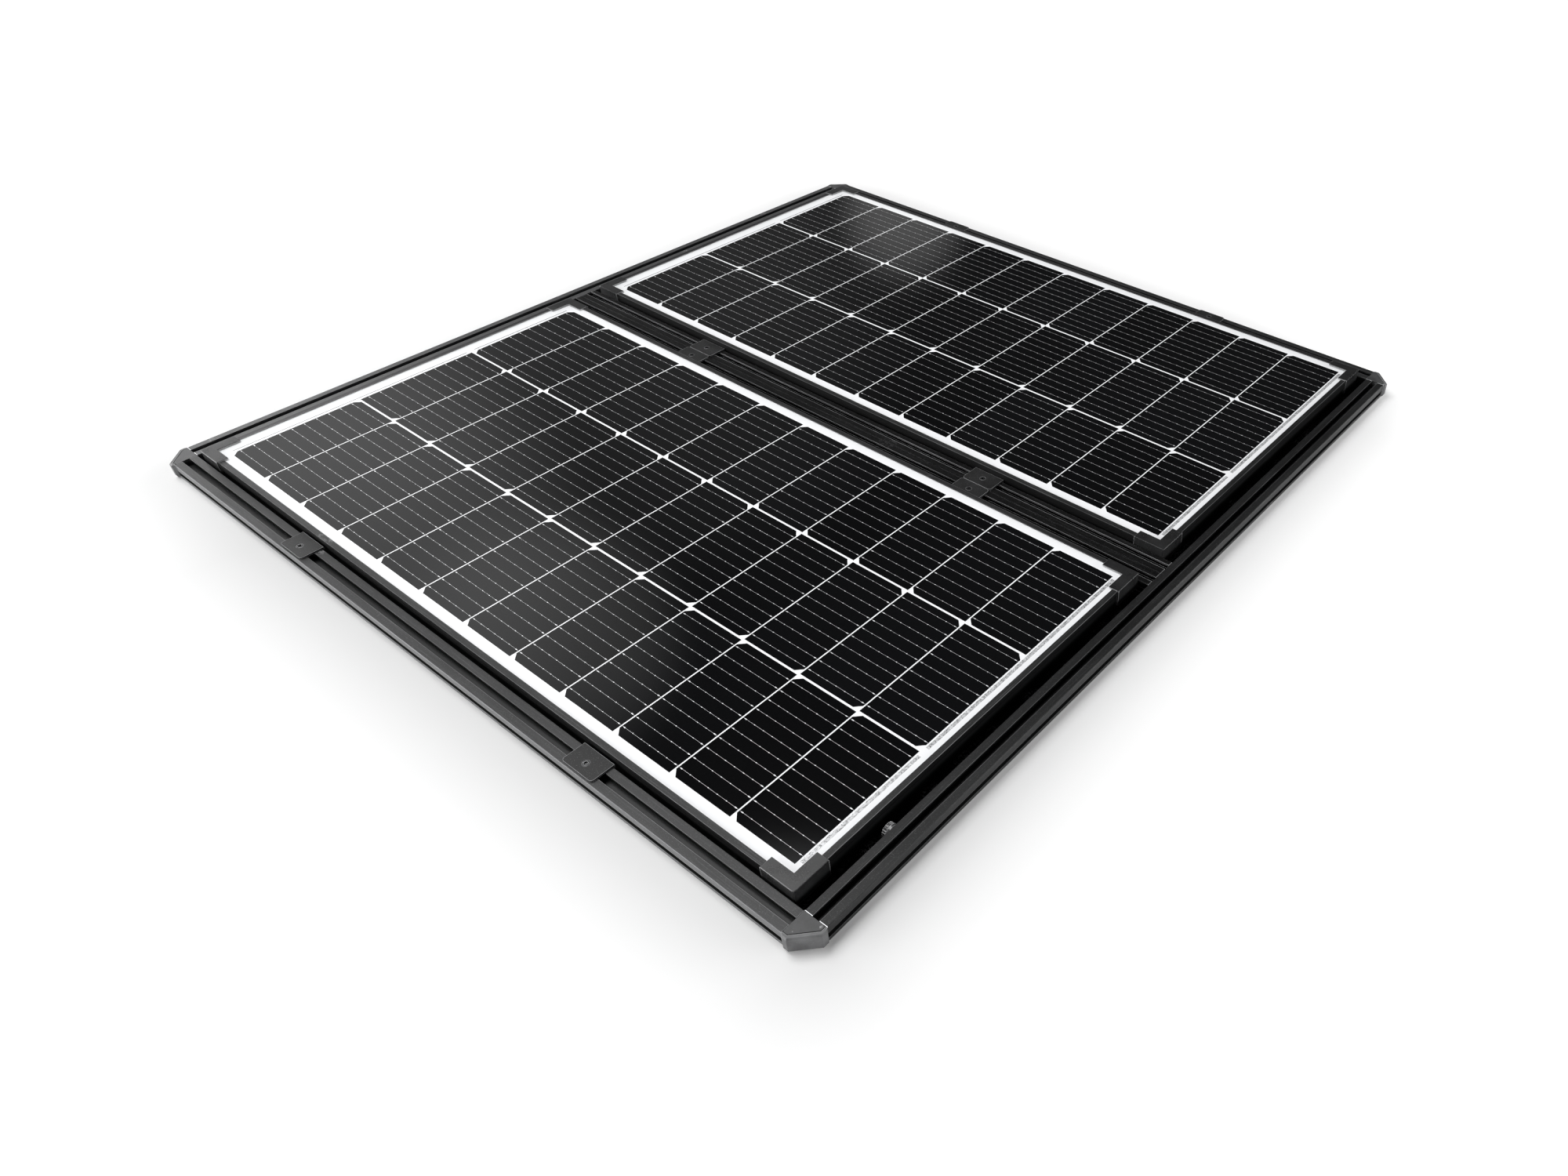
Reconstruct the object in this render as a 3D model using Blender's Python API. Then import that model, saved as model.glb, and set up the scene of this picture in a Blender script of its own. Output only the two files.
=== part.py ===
"""Twin-module solar panel: two framed glass modules held in a slotted rail frame.

Metres, +Z up. The origin is the bottom centre of the whole panel. X runs along the modules' long
side and Y runs across the two modules, from the near one (-Y) to the far one (+Y).
"""
import math

import bmesh
import bpy
from mathutils import Matrix, Vector

# ---- driving dimensions ----
GAP = 0.0003                    # clearance between pieces that touch

# rails
OPENING_X = 1.2040              # clear length between the end rails
OPENING_Y = 1.2660              # clear width between the side rails
RAIL_Z = 0.0010                 # underside of the outer rails
RAIL_TOP = 0.0235
RAIL_WIDTH = 0.0300
RAIL_EDGE = 0.0006              # small chamfer on the rails' top edges
CENTRE_WIDTH = 0.0580
CENTRE_Z = 0.0041               # underside of the centre rail, just above the skin panel
CENTRE_GROOVE = 0.0012          # V line along the middle of the centre rail
LEDGE = (0.0080, 0.0010)        # reach and thickness of the side rails' ledge for the skin panel
SIDE_SLOT = 0.0150              # slot centre from an outer rail's inner edge
CENTRE_SLOT = 0.0133            # slot centre from the centre rail's edge
SLOT_STEPS = ((0.0096, 0.0022), (0.0165, 0.0068), (0.0110, 0.0094))     # widths, down to depths
GROOVE_Z = (0.0056, 0.0132)     # side groove
GROOVE_DEPTH = 0.0040
CHAMBER_Z = (0.0035, 0.0123)    # hollow chambers that run through the rails
OUTER_CHAMBER = (0.0040, 0.0230)
CENTRE_CHAMBERS = ((-0.0220, -0.0080, 0.0065, 0.0123), (-0.0050, 0.0050, 0.0070, 0.0190),
                   (0.0080, 0.0220, 0.0065, 0.0123))

# corner castings and their insert plates
CASTING_PROUD = 0.0030          # casting beyond the rails' outer faces
CASTING_CLIP = 0.0422           # x + y of the clipped corner, from the opening's corner
CASTING_TOP_BEVEL = 0.0018
CASTING_FOOT = ((0.0, 0.0042), (0.0015, 0.0014), (0.0042, 0.0))
INSERT_SIDE = 0.0280
INSERT_CLIP = 0.0338
INSERT_DEPTH = 0.0022
INSERT_GAP = 0.0006             # joint line round the insert plate
SPIGOT_LENGTH = 0.0260

# modules
MODULE_X = 1.1686
MODULE_Y = 0.5960
MODULE_Z = 0.0065
MODULE_PITCH = 0.6600           # centre to centre
LIP_TOP = 0.0348
LIP_WIDTH = 0.0076
LIP_THICKNESS = 0.0010
LAMINATE_THICKNESS = 0.0042
BAR_WALL = 0.0016
BAR_SHELF = 0.0085
BAR_FLANGE = 0.0200
RIB_Z = (0.0266, 0.0274)        # line along the frame's outer wall
RIB_DEPTH = 0.0004

# module corner caps
CAP_LEG = 0.0470
CAP_WIDTH = 0.0160
CAP_PROUD = 0.0026
CAP_THICKNESS = 0.0012
CAP_SKIRT = 0.0240              # how far the skirt reaches below the cap's top
CAP_CORNER = 0.0022             # rounding of the upright outer corner
CAP_RIM = 0.0006                # chamfer round the top

# clamps, their screws and T-nuts
CLAMP_X = 0.2920                # clamps sit at plus and minus this
CLAMP_LENGTH = 0.0500
CLAMP_PLATE = 0.0022
SIDE_REACH = 0.0277             # plate's outer edge, from the rail's inner edge
CENTRE_REACH = 0.0286
CLAMP_WEB = (0.0005, 0.0021)    # web faces, from the rail's inner edge towards the module
CLAMP_FOOT = (0.0046, 0.0062)   # heights of the foot under the module
CLAMP_FOOT_REACH = 0.0160
CLAMP_CORNER = 0.0040
SCREW_HEAD = (0.0041, 0.0004, 0.0015)    # radius, straight rim, cone
SCREW_SHANK = 0.0025
SCREW_END = 0.0160
SCREW_SOCKET = (0.0022, 0.0014)
NUT_SIZE = (0.0200, 0.0159)
NUT_Z = (0.0170, 0.0210)

# junction boxes
BOX_SIZE = (0.1100, 0.0850, 0.0140)
BOX_X = -0.4700
BOX_CORNER = 0.0060

# cable gland on the right end rail's inner face
GLAND_Y = -0.5100
GLAND_Z = 0.0136
GLAND_STUB = (0.0050, 0.0032)   # radius and depth in the rail
GLAND_FLANGE = (0.0094, 0.0030)
GLAND_STEM = (0.0056, 0.0056)
GLAND_NUT = (0.0092, 0.0086, 0.0046, 20)    # rib radius, root radius, length, ribs

SKIN_Z = (0.0023, 0.0038)

SIDES = 16                      # facets round a screw or gland
SAME_POINT = 0.00001            # points closer than this are one point
FLAT_ANGLE = 0.001              # faces closer to one plane than this, in radians, are one face

# ---- heights worked out from the above ----
GLASS_TOP = LIP_TOP - LIP_THICKNESS - GAP
BACK_Z = GLASS_TOP - LAMINATE_THICKNESS
CAP_TOP = LIP_TOP + GAP + CAP_THICKNESS
PLATE_Z = RAIL_TOP + GAP
PLATE_TOP = PLATE_Z + CLAMP_PLATE


def clear_scene():
    for old in list(bpy.data.objects):
        bpy.data.objects.remove(old, do_unlink=True)


def new_collection(name):
    made = bpy.data.collections.new(name)
    bpy.context.scene.collection.children.link(made)
    return made


def finish_material(name, colour, roughness, metallic):
    made = bpy.data.materials.new(name)
    made.use_nodes = True
    shader = made.node_tree.nodes["Principled BSDF"]
    shader.inputs["Base Color"].default_value = (*colour, 1.0)
    shader.inputs["Roughness"].default_value = roughness
    shader.inputs["Metallic"].default_value = metallic
    return made


def place(mesh, name, finish, location=(0, 0, 0), turn=0.0):
    """Makes the named object of a sub-part and puts it in the panel's collection."""
    piece = bpy.data.objects.new(name, mesh)
    PANEL.objects.link(piece)
    piece.location = location
    piece.rotation_euler = (0, 0, turn)
    if not mesh.materials:
        mesh.materials.append(finish)
    return piece


def cutter(mesh, name):
    made = bpy.data.objects.new(name, mesh)
    CUTTERS.objects.link(made)
    made.hide_render = True
    made.display_type = "WIRE"
    return made


def boolean(piece, tool, operation="DIFFERENCE"):
    step = piece.modifiers.new(tool.name, "BOOLEAN")
    step.operation = operation
    step.solver = "EXACT"
    step.object = tool


def extruded(name, loops, depth):
    """A flat outline, with any holes, made solid: loops lie in XY and the depth is along Z."""
    outline = bpy.data.curves.new(name, "CURVE")
    outline.dimensions = "2D"
    outline.fill_mode = "BOTH"
    outline.extrude = depth / 2
    for loop in loops:
        spline = outline.splines.new("POLY")
        spline.points.add(len(loop) - 1)
        for point, (u, v) in zip(spline.points, loop):
            point.co = (u, v, 0, 1)
        spline.use_cyclic_u = True
    holder = bpy.data.objects.new(name, outline)
    bpy.context.scene.collection.objects.link(holder)
    bpy.context.view_layer.update()
    graph = bpy.context.evaluated_depsgraph_get()
    mesh = bpy.data.meshes.new_from_object(holder.evaluated_get(graph))
    bpy.data.objects.remove(holder, do_unlink=True)
    weld(mesh)
    return mesh


def weld(mesh):
    """Joins an extruded outline's loose caps to its walls and its flat faces to each other."""
    shape = bmesh.new()
    shape.from_mesh(mesh)
    bmesh.ops.remove_doubles(shape, verts=shape.verts, dist=SAME_POINT)
    bmesh.ops.dissolve_limit(shape, angle_limit=FLAT_ANGLE, verts=shape.verts, edges=shape.edges)
    bmesh.ops.recalc_face_normals(shape, faces=shape.faces)
    shape.to_mesh(mesh)
    shape.free()


def along_x(mesh):
    """Turns an outline's (u, v, depth) into (y, z, x)."""
    mesh.transform(Matrix(((0, 0, 1, 0), (1, 0, 0, 0), (0, 1, 0, 0), (0, 0, 0, 1))))
    return mesh


def rectangle(low, high):
    return [(low[0], low[1]), (high[0], low[1]), (high[0], high[1]), (low[0], high[1])]


def box_mesh(name, low, high):
    shape = bmesh.new()
    size = Vector(high) - Vector(low)
    middle = (Vector(high) + Vector(low)) / 2
    bmesh.ops.create_cube(shape, size=1.0, matrix=Matrix.Translation(middle) @ Matrix.Diagonal((*size, 1)))
    return from_bmesh(shape, name)


def from_bmesh(shape, name):
    mesh = bpy.data.meshes.new(name)
    shape.to_mesh(mesh)
    shape.free()
    return mesh


def cylinder_mesh(name, radius, low, high):
    """A capped cylinder along Z between two heights."""
    shape = bmesh.new()
    middle = Matrix.Translation((0, 0, (low + high) / 2))
    bmesh.ops.create_cone(shape, cap_ends=True, segments=SIDES, radius1=radius, radius2=radius,
                          depth=high - low, matrix=middle)
    return from_bmesh(shape, name)


def ring(radii):
    """Points round the origin at equal angles, one for each radius."""
    step = 2 * math.pi / len(radii)
    return [(radius * math.cos(k * step), radius * math.sin(k * step)) for k, radius in enumerate(radii)]


def turned(name, profile):
    """A solid turned about Z from (radius, z) points that run from the top axis to the bottom one."""
    shape = bmesh.new()
    points = [shape.verts.new((radius, 0, z)) for radius, z in profile]
    edges = [shape.edges.new(pair) for pair in zip(points, points[1:])]
    bmesh.ops.spin(shape, geom=points + edges, cent=(0, 0, 0), axis=(0, 0, 1),
                   angle=2 * math.pi, steps=SIDES, use_merge=True)
    bmesh.ops.remove_doubles(shape, verts=shape.verts, dist=SAME_POINT)
    bmesh.ops.recalc_face_normals(shape, faces=shape.faces)
    return from_bmesh(shape, name)


# ---- rails ----
def slot_outline(centre):
    """One T-slot, from its +u edge round to its -u edge: mouth, nut cavity and channel."""
    right = []
    above = 0.0
    for width, depth in SLOT_STEPS:
        right.append((width / 2, RAIL_TOP - above))
        right.append((width / 2, RAIL_TOP - depth))
        above = depth
    left = [(-half, height) for half, height in reversed(right)]
    return [(centre + half, height) for half, height in right + left]


def groove_outline(face, depth):
    """The side groove on the face u = face, from bottom to top; a negative depth cuts towards +u."""
    low, high = GROOVE_Z
    return [(face, low), (face - depth, low), (face - depth, high), (face, high)]


def rail_outline(ledge):
    """Outer rail: u = 0 is the inner face and u = RAIL_WIDTH is the outer face."""
    reach, thickness = LEDGE
    foot = [(0, RAIL_Z + thickness), (-reach, RAIL_Z + thickness), (-reach, RAIL_Z)]
    outline = foot if ledge else [(0, RAIL_Z)]
    outline = outline + [(RAIL_WIDTH, RAIL_Z)] + groove_outline(RAIL_WIDTH, GROOVE_DEPTH)
    outline += [(RAIL_WIDTH, RAIL_TOP - RAIL_EDGE), (RAIL_WIDTH - RAIL_EDGE, RAIL_TOP)]
    outline += slot_outline(SIDE_SLOT)
    outline += [(RAIL_EDGE, RAIL_TOP), (0, RAIL_TOP - RAIL_EDGE)]
    chamber = rectangle((OUTER_CHAMBER[0], CHAMBER_Z[0]), (OUTER_CHAMBER[1], CHAMBER_Z[1]))
    return [outline, chamber]


def centre_outline():
    """Centre rail: two slots and a V line, symmetric about u = 0, with a groove in each side."""
    half = CENTRE_WIDTH / 2
    slot = half - CENTRE_SLOT
    outline = [(-half, CENTRE_Z), (half, CENTRE_Z)]
    outline += groove_outline(half, GROOVE_DEPTH)
    outline += [(half, RAIL_TOP - RAIL_EDGE), (half - RAIL_EDGE, RAIL_TOP)]
    outline += slot_outline(slot)
    outline += [(CENTRE_GROOVE / 2, RAIL_TOP), (0, RAIL_TOP - CENTRE_GROOVE / 2),
                (-CENTRE_GROOVE / 2, RAIL_TOP)]
    outline += slot_outline(-slot)
    outline += [(-half + RAIL_EDGE, RAIL_TOP), (-half, RAIL_TOP - RAIL_EDGE)]
    outline += list(reversed(groove_outline(-half, -GROOVE_DEPTH)))
    return [outline] + [rectangle((low_u, low_z), (high_u, high_z))
                        for low_u, high_u, low_z, high_z in CENTRE_CHAMBERS]


def rail_pair(names, outline, length, offset, turn):
    """Two like rails, one each side of the centre, with their slots up and their grooves out."""
    mesh = along_x(extruded(names[0], outline, length - 2 * GAP))
    mesh.transform(Matrix.Translation((0, offset, 0)))
    return [place(mesh, name, ALUMINIUM, turn=turn + half) for name, half in zip(names, (0, math.pi))]


def rails():
    rail_pair(("side_rail_far", "side_rail_near"), rail_outline(True), OPENING_X, OPENING_Y / 2, 0.0)
    ends = rail_pair(("end_rail_left", "end_rail_right"), rail_outline(False), OPENING_Y,
                     OPENING_X / 2, math.pi / 2)
    mesh = along_x(extruded("centre_rail", centre_outline(), OPENING_X - 2 * GAP))
    place(mesh, "centre_rail", ALUMINIUM)
    return ends[1]


# ---- cable gland on the end rail ----
def gland_frame():
    """Turns a solid along +Z into one along -X that starts on the right end rail's inner face."""
    start = Matrix.Translation((OPENING_X / 2, GLAND_Y, GLAND_Z))
    return start @ Matrix.Rotation(-math.pi / 2, 4, "Y")


def cable_gland(rail):
    frame = gland_frame()
    stub_r, stub_depth = GLAND_STUB
    flange_r, flange_top = GLAND_FLANGE
    stem_r, stem_length = GLAND_STEM
    seat = cylinder_mesh("cut_gland", stub_r + GAP, -stub_depth - GAP, flange_top)
    seat.transform(frame)
    boolean(rail, cutter(seat, "cut_gland"))
    body = turned("cable_gland", [(0, flange_top + stem_length), (stem_r, flange_top + stem_length),
                                  (stem_r, flange_top), (flange_r, flange_top), (flange_r, GAP),
                                  (stub_r, GAP), (stub_r, -stub_depth), (0, -stub_depth)])
    body.transform(frame)
    place(body, "cable_gland", PLASTIC)
    rib, root, length, ribs = GLAND_NUT
    knurl = ring([rib, rib, root, root] * ribs)
    bore = ring([stem_r + GAP] * SIDES)
    nut = extruded("gland_nut", [knurl, bore], length)
    nut.transform(frame @ Matrix.Translation((0, 0, flange_top + GAP + length / 2)))
    place(nut, "gland_nut", PLASTIC)


# ---- corner castings ----
def casting_section(inset):
    """Outline of a casting from the opening's corner, its outer faces moved in by the inset."""
    edge = RAIL_WIDTH + CASTING_PROUD - inset
    clip = CASTING_CLIP - inset * math.sqrt(2)
    shoulder = min(RAIL_WIDTH, edge)
    return [(0, 0), (shoulder, 0), (edge, CASTING_PROUD), (edge, clip - edge),
            (clip - edge, edge), (CASTING_PROUD, edge), (0, shoulder)]


def loft(name, sections):
    """A closed solid through (z, outline) sections that have the same number of points."""
    shape = bmesh.new()
    rings = [[shape.verts.new((x, y, z)) for x, y in outline] for z, outline in sections]
    for lower, upper in zip(rings, rings[1:]):
        for k in range(len(lower)):
            after = (k + 1) % len(lower)
            shape.faces.new((lower[k], lower[after], upper[after], upper[k]))
    shape.faces.new(list(reversed(rings[0])))
    shape.faces.new(rings[-1])
    return from_bmesh(shape, name)


def insert_outline(grow):
    side = INSERT_SIDE + grow
    clip = INSERT_CLIP + 2 * grow
    return [(-grow, -grow), (side, -grow), (side, clip - side), (clip - side, side), (-grow, side)]


def casting_mesh():
    sections = [(z, casting_section(inset)) for z, inset in CASTING_FOOT]
    sections.append((RAIL_TOP - CASTING_TOP_BEVEL, casting_section(0)))
    sections.append((RAIL_TOP, casting_section(CASTING_TOP_BEVEL)))
    return loft("casting", sections)


def spigot_mesh(name):
    """One tongue that fills the end of a side rail's chamber."""
    low = (-SPIGOT_LENGTH, OUTER_CHAMBER[0] + GAP, CHAMBER_Z[0] + GAP)
    high = (OUTER_CHAMBER[0] / 2, OUTER_CHAMBER[1] - GAP, CHAMBER_Z[1] - GAP)
    return box_mesh(name, low, high)


def corner_tools():
    """Cutters in the frame of one corner: the insert's pocket and the two spigots."""
    pocket = extruded("cut_pocket", [insert_outline(INSERT_GAP)], 2 * (INSERT_DEPTH + GAP))
    pocket.transform(Matrix.Translation((0, 0, RAIL_TOP)))
    first = spigot_mesh("add_spigot_x")
    second = first.copy()
    second.transform(Matrix(((0, 1, 0, 0), (1, 0, 0, 0), (0, 0, 1, 0), (0, 0, 0, 1))))
    second.flip_normals()
    return pocket, first, second


def corner_frame(sign_x, sign_y):
    """Moves a solid made for the +X +Y corner to any corner, mirrored where it must be."""
    move = Matrix.Translation((OPENING_X / 2, OPENING_Y / 2, 0))
    return Matrix.Diagonal((sign_x, sign_y, 1, 1)) @ move


def mirrored(mesh, name, sign_x, sign_y, frame):
    made = mesh.copy()
    made.name = name
    made.transform(frame)
    if sign_x * sign_y < 0:
        made.flip_normals()
    return made


def corners():
    body = casting_mesh()
    tools = corner_tools()
    plate = extruded("insert", [insert_outline(0)], INSERT_DEPTH)
    plate.transform(Matrix.Translation((0, 0, RAIL_TOP - INSERT_DEPTH / 2)))
    for row, sign_y in (("near", -1), ("far", 1)):
        for side, sign_x in (("left", -1), ("right", 1)):
            where = row + "_" + side
            frame = corner_frame(sign_x, sign_y)
            shell = mirrored(body, where, sign_x, sign_y, frame)
            casting = place(shell, "corner_casting_" + where, CASTING)
            for tool, action in zip(tools, ("DIFFERENCE", "UNION", "UNION")):
                name = tool.name + "_" + where
                boolean(casting, cutter(mirrored(tool, name, sign_x, sign_y, frame), name), action)
            place(mirrored(plate, where, sign_x, sign_y, frame), "corner_insert_" + where, CASTING)


# ---- skin panel ----
def skin():
    """A flat sheet that lies on the side rails' ledges and closes the bottom of the frame."""
    half_x, half_y = OPENING_X / 2 - GAP, OPENING_Y / 2 - GAP
    mesh = box_mesh("skin_panel", (-half_x, -half_y, SKIN_Z[0]), (half_x, half_y, SKIN_Z[1]))
    place(mesh, "skin_panel", SKIN)


# ---- modules ----
def bar_outline():
    """Module frame bar: u = 0 is its outer face and it reaches inwards to +u, z from the ground."""
    floor = BACK_Z - GAP
    return [(0, MODULE_Z), (BAR_FLANGE, MODULE_Z), (BAR_FLANGE, MODULE_Z + BAR_WALL),
            (BAR_WALL, MODULE_Z + BAR_WALL), (BAR_WALL, floor - BAR_WALL), (BAR_SHELF, floor - BAR_WALL),
            (BAR_SHELF, floor), (BAR_WALL, floor), (BAR_WALL, LIP_TOP - LIP_THICKNESS),
            (LIP_WIDTH, LIP_TOP - LIP_THICKNESS), (LIP_WIDTH, LIP_TOP), (0, LIP_TOP),
            (0, RIB_Z[1]), (RIB_DEPTH, RIB_Z[1]), (RIB_DEPTH, RIB_Z[0]), (0, RIB_Z[0])]


def bar_mesh(name, length, offset):
    """A bar along X, its outer face at y = -offset, with its ends cut to a mitre."""
    mesh = along_x(extruded(name, [bar_outline()], length))
    for vertex in mesh.vertices:
        side = 1 if vertex.co.x > 0 else -1
        vertex.co.x = side * (length / 2 - GAP / 2 - vertex.co.y)
        vertex.co.y -= offset
    return mesh


def frame_bars(row, y):
    long_bar = bar_mesh(row + "_bar_long", MODULE_X, MODULE_Y / 2)
    short_bar = bar_mesh(row + "_bar_short", MODULE_Y, MODULE_X / 2)
    quarter = math.pi / 2
    for name, mesh, turn in (("front", long_bar, 0), ("right", short_bar, quarter),
                             ("back", long_bar, 2 * quarter), ("left", short_bar, 3 * quarter)):
        place(mesh, row + "_frame_" + name, ALUMINIUM, location=(0, y, 0), turn=turn)


def laminate(row, y):
    """The bonded sandwich of glass, cells and backsheet, held in the bars' channel."""
    half_x = MODULE_X / 2 - BAR_WALL - GAP
    half_y = MODULE_Y / 2 - BAR_WALL - GAP
    mesh = box_mesh(row + "_laminate", (-half_x, y - half_y, BACK_Z), (half_x, y + half_y, GLASS_TOP))
    place(mesh, row + "_laminate", GLASS)


def bevelled_box(name, low, high, radius):
    """A box with its four upright edges rounded."""
    shape = bmesh.new()
    shape.from_mesh(box_mesh(name, low, high))
    upright = [edge for edge in shape.edges if abs(edge.verts[0].co.z - edge.verts[1].co.z) > radius / 2]
    bmesh.ops.bevel(shape, geom=upright, offset=radius, segments=3, affect="EDGES", profile=0.5)
    return from_bmesh(shape, name)


def junction_box(row, y):
    """A flat box, potted shut, glued to the back of the laminate."""
    length, width, depth = BOX_SIZE
    top = BACK_Z - GAP
    low = (BOX_X - length / 2, y - width / 2, top - depth)
    high = (BOX_X + length / 2, y + width / 2, top)
    place(bevelled_box(row + "_junction_box", low, high, BOX_CORNER), row + "_junction_box", PLASTIC)


def cap_mesh():
    """An L-shaped cap for the +X +Y corner, about the module frame's outer corner."""
    outer, inner, end = CAP_PROUD, CAP_PROUD - CAP_WIDTH, CAP_PROUD - CAP_LEG
    outline = [(outer, outer), (end, outer), (end, inner), (inner, inner), (inner, end), (outer, end)]
    mesh = extruded("corner_cap", [outline], CAP_SKIRT)
    mesh.transform(Matrix.Translation((0, 0, CAP_TOP - CAP_SKIRT / 2)))
    shape = bmesh.new()
    shape.from_mesh(mesh)
    corner = [edge for edge in shape.edges
              if all(abs(vert.co.x - outer) + abs(vert.co.y - outer) < GAP for vert in edge.verts)]
    bmesh.ops.bevel(shape, geom=corner, offset=CAP_CORNER, segments=2, affect="EDGES", profile=0.5)
    rim = [edge for edge in shape.edges if all(abs(vert.co.z - CAP_TOP) < GAP for vert in edge.verts)]
    bmesh.ops.bevel(shape, geom=rim, offset=CAP_RIM, segments=1, affect="EDGES")
    return from_bmesh(shape, "corner_cap")


def corner_caps(row, y):
    cap = cap_mesh()
    hollow = box_mesh("cut_cap", (-2 * CAP_LEG, -2 * CAP_LEG, 0), (GAP, GAP, LIP_TOP + GAP))
    for end, sign_y in (("front", -1), ("back", 1)):
        for side, sign_x in (("left", -1), ("right", 1)):
            where = row + "_" + end + "_" + side
            frame = Matrix.Translation((0, y, 0)) @ Matrix.Diagonal((sign_x, sign_y, 1, 1))
            frame = frame @ Matrix.Translation((MODULE_X / 2, MODULE_Y / 2, 0))
            shell = mirrored(cap, where, sign_x, sign_y, frame)
            piece = place(shell, row + "_corner_cap_" + end + "_" + side, PLASTIC)
            name = "cut_cap_" + where
            boolean(piece, cutter(mirrored(hollow, name, sign_x, sign_y, frame), name))


# ---- clamps ----
def clamp_mesh(reach):
    """Plate on the rail, web down beside the module and foot under it. The rail's inner edge is at
    y = 0, with the rail towards +y and the module towards -y."""
    near, far = CLAMP_WEB
    low, high = CLAMP_FOOT
    outline = [(reach, PLATE_Z), (reach, PLATE_TOP), (-far, PLATE_TOP), (-far, high),
               (-CLAMP_FOOT_REACH, high), (-CLAMP_FOOT_REACH, low), (-near, low), (-near, PLATE_Z)]
    mesh = along_x(extruded("clamp", [outline], CLAMP_LENGTH))
    shape = bmesh.new()
    shape.from_mesh(mesh)
    ends = [edge for edge in shape.edges
            if all(abs(vert.co.y - reach) < GAP for vert in edge.verts)
            and abs(edge.verts[0].co.z - edge.verts[1].co.z) > GAP]
    bmesh.ops.bevel(shape, geom=ends, offset=CLAMP_CORNER, segments=3, affect="EDGES", profile=0.5)
    return from_bmesh(shape, "clamp")


def screw_profile(grow, top, bottom):
    """Countersunk screw, or the hole for it, from the top axis down to the bottom one."""
    head, rim, cone = SCREW_HEAD
    return [(0, top), (head + grow, top), (head + grow, PLATE_TOP - rim),
            (SCREW_SHANK + grow, PLATE_TOP - rim - cone), (SCREW_SHANK + grow, bottom), (0, bottom)]


def screw_mesh():
    radius, depth = SCREW_SOCKET
    profile = screw_profile(0, PLATE_TOP, SCREW_END)
    profile[:1] = [(0, PLATE_TOP - depth), (radius, PLATE_TOP - depth), (radius, PLATE_TOP)]
    return turned("screw", profile)


def nut_mesh():
    length, width = NUT_SIZE
    return box_mesh("t_nut", (-length / 2, -width / 2, NUT_Z[0]), (length / 2, width / 2, NUT_Z[1]))


def clamp_line(row, line, rail_edge, away, slot, reach):
    """The clamps, screws and T-nuts on one slot. The rail lies from y = rail_edge towards away."""
    clamp = clamp_mesh(reach)
    screw = screw_mesh()
    nut = nut_mesh()
    slot_y = rail_edge + away * slot
    turn = 0.0 if away > 0 else math.pi
    for side, sign in (("left", -1), ("right", 1)):
        where = line + "_" + side
        x = sign * CLAMP_X
        name = "cut_screw_" + row + "_" + where
        hole = turned(name, screw_profile(GAP, PLATE_TOP + GAP, SCREW_END - GAP))
        hole.transform(Matrix.Translation((x, slot_y, 0)))
        tool = cutter(hole, name)
        boolean(place(clamp, row + "_clamp_" + where, PLATE, (x, rail_edge, 0), turn), tool)
        boolean(place(nut, row + "_t_nut_" + where, STEEL, (x, slot_y, 0)), tool)
        place(screw, row + "_screw_" + where, STEEL, (x, slot_y, 0))


def module(row, sign):
    """One framed module with its caps and clamps; sign is -1 for the near one and 1 for the far one."""
    y = sign * MODULE_PITCH / 2
    frame_bars(row, y)
    laminate(row, y)
    junction_box(row, y)
    corner_caps(row, y)
    clamp_line(row, "side", sign * OPENING_Y / 2, sign, SIDE_SLOT, SIDE_REACH)
    clamp_line(row, "centre", sign * CENTRE_WIDTH / 2, -sign, CENTRE_SLOT, CENTRE_REACH)


clear_scene()
PANEL = new_collection("solar_panel")
CUTTERS = new_collection("cutters")
ALUMINIUM = finish_material("black_anodised", (0.045, 0.046, 0.048), 0.42, 0.9)
CASTING = finish_material("painted_casting", (0.050, 0.051, 0.053), 0.55, 0.3)
SKIN = finish_material("black_skin", (0.012, 0.012, 0.013), 0.6, 0.0)
PLATE = finish_material("clamp_plate", (0.060, 0.061, 0.063), 0.5, 0.8)
STEEL = finish_material("steel", (0.35, 0.35, 0.36), 0.35, 1.0)
GLASS = finish_material("module_glass", (0.030, 0.031, 0.034), 0.08, 0.0)
PLASTIC = finish_material("black_plastic", (0.035, 0.035, 0.037), 0.5, 0.0)

cable_gland(rails())
corners()
skin()
module("near", -1)
module("far", 1)
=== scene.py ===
"""Looks of the solar panel: glass and cells, black extrusions, castings, caps, clamps and studio.

Metres, in the CAD model's frame: X along the modules' long side, Y across the two modules, +Z up.
"""
import math

import bmesh
import bpy
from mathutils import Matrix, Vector


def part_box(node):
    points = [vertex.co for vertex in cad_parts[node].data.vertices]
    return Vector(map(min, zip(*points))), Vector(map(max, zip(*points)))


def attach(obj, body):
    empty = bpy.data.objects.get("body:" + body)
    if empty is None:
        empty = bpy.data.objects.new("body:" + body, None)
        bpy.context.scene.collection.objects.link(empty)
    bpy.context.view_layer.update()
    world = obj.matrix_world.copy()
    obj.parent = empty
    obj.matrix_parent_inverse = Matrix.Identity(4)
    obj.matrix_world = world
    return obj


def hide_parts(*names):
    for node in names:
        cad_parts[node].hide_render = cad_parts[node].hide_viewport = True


MM = 0.001

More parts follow.
